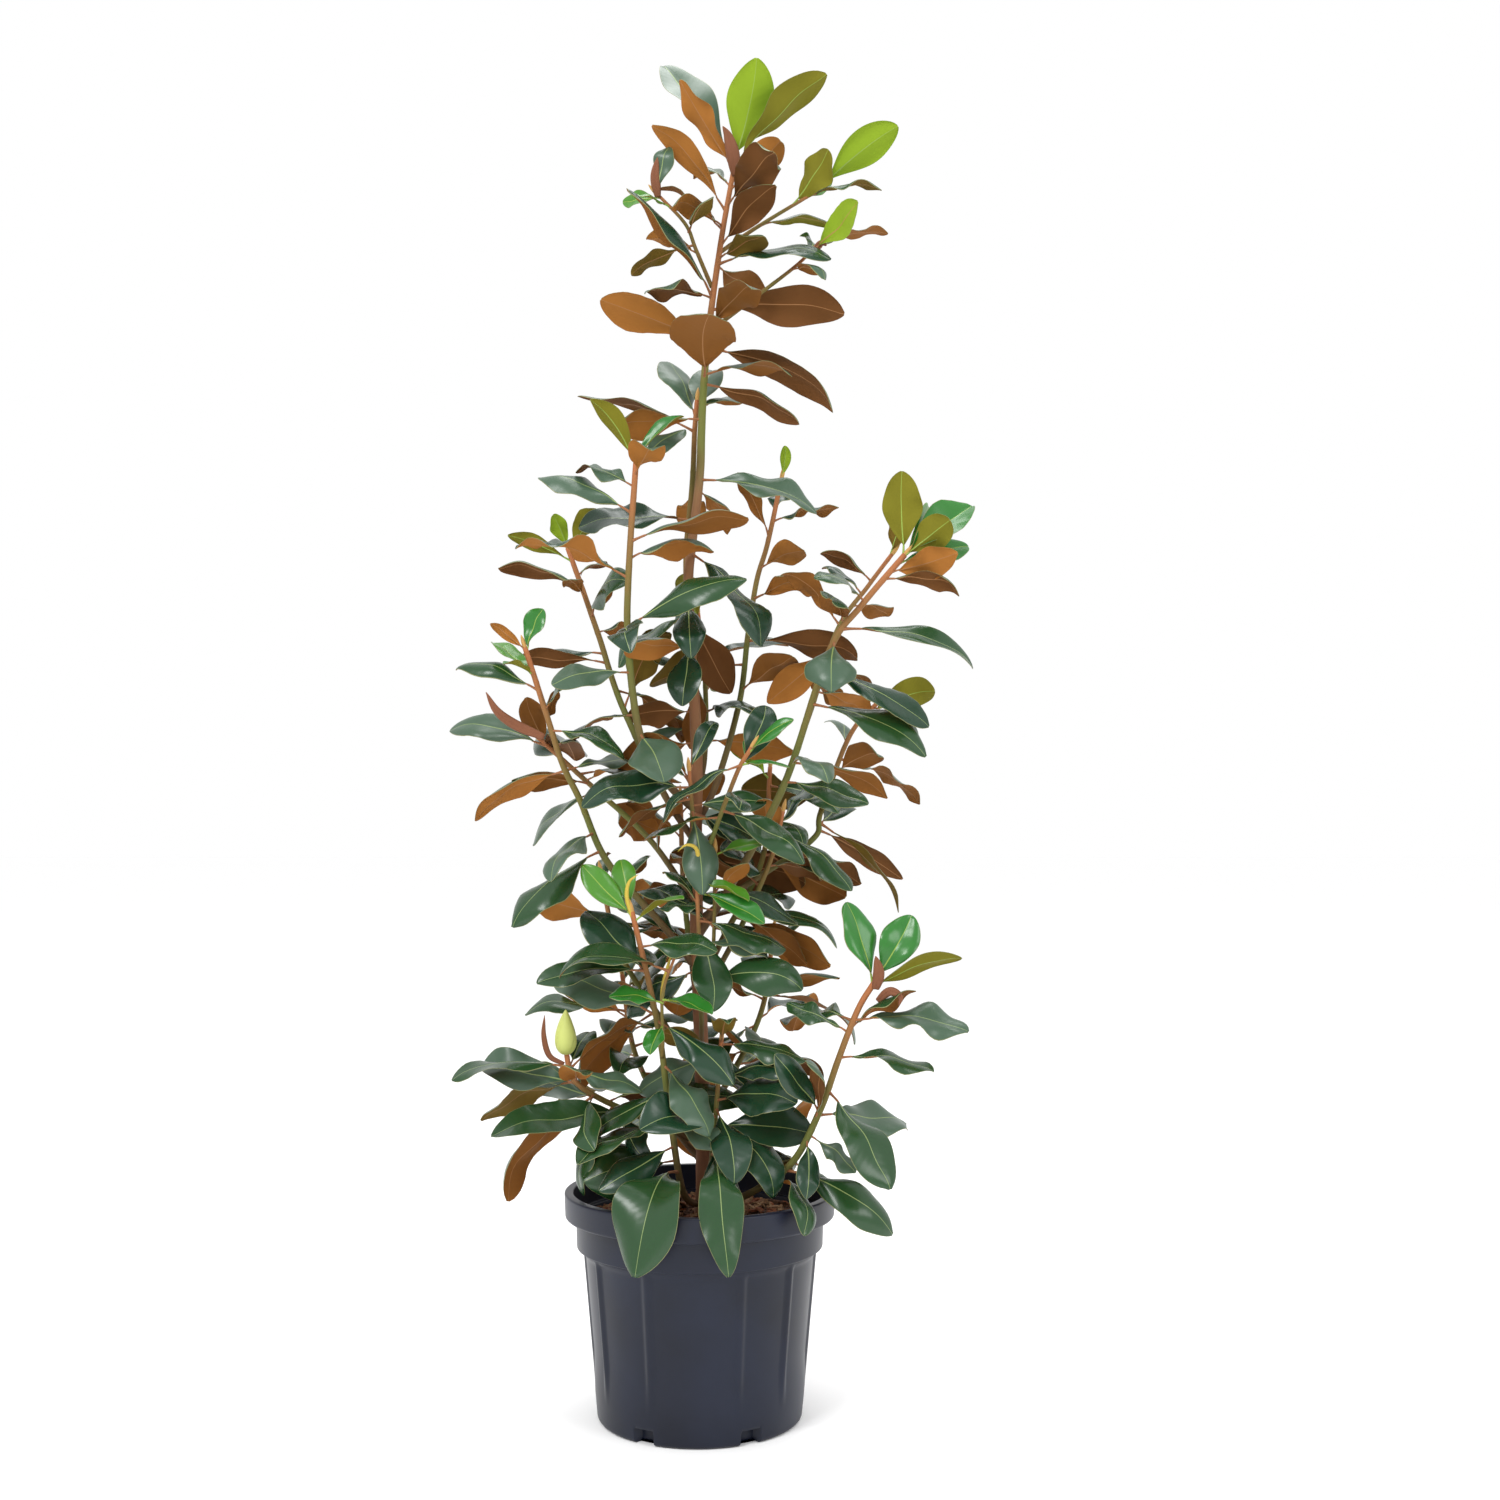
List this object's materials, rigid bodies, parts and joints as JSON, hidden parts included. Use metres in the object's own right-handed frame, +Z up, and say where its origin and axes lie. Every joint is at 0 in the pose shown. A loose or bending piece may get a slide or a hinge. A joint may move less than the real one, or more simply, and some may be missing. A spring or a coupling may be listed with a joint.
{
  "type": "young southern magnolia tree in a nursery pot",
  "caption": "Young evergreen magnolia with glossy green leaves, rust-brown underneath, on upright shoots from a slim trunk, in a round black nursery pot.",
  "frame": {"origin": "centre of the pot's flat underside, on the surface that the pot stands on", "axes": "+Z up along the pot's axis and the trunk, -Y towards the viewer, +X to the viewer's right"},
  "size_m": [0.679, 0.429, 1.694],
  "materials": {
    "bark": "matte, finely ringed and fissured",
    "shoot": "smooth to felted",
    "leaf": "glossy above, felted below",
    "pot": "satin",
    "compost": "rough, crumbly"
  },
  "bodies": {
    "root": {"trunk": "bark", "bough_left_high": "shoot", "bough_left_upper": "shoot", "bough_left_outer": "shoot", "bough_left_middle": "shoot", "bough_left_low": "shoot", "bough_right_high": "shoot", "bough_right_outer": "shoot", "bough_right_back": "shoot", "bough_right_middle": "shoot", "bough_right_low": "shoot", "bough_centre_front": "shoot", "bough_front_upper": "shoot", "bough_front_middle": "shoot", "bough_front_left_low": "shoot", "bough_front_low": "shoot", "bough_back_left_low": "shoot", "bough_back_right_low": "shoot", "bough_back_left": "shoot", "bough_back_middle": "shoot", "bough_back_right": "shoot", "bough_back_high": "shoot", "foliage_leader_low": "leaf", "foliage_leader_middle": "leaf", "foliage_top": "leaf", "foliage_left_high": "leaf", "foliage_left_upper": "leaf", "foliage_left_outer": "leaf", "foliage_left_middle": "leaf", "foliage_left_low": "leaf", "foliage_right_high": "leaf", "foliage_right_outer": "leaf", "foliage_right_back": "leaf", "foliage_right_middle": "leaf", "foliage_right_low": "leaf", "foliage_centre_front": "leaf", "foliage_front_upper": "leaf", "foliage_front_middle": "leaf", "foliage_front_left_low": "leaf", "foliage_front_low": "leaf", "foliage_back_left_low": "leaf", "foliage_back_right_low": "leaf", "foliage_back_left": "leaf", "foliage_back_middle": "leaf", "foliage_back_right": "leaf", "foliage_back_high": "leaf", "pot": "pot", "compost": "compost"}
  },
  "joints": []
}
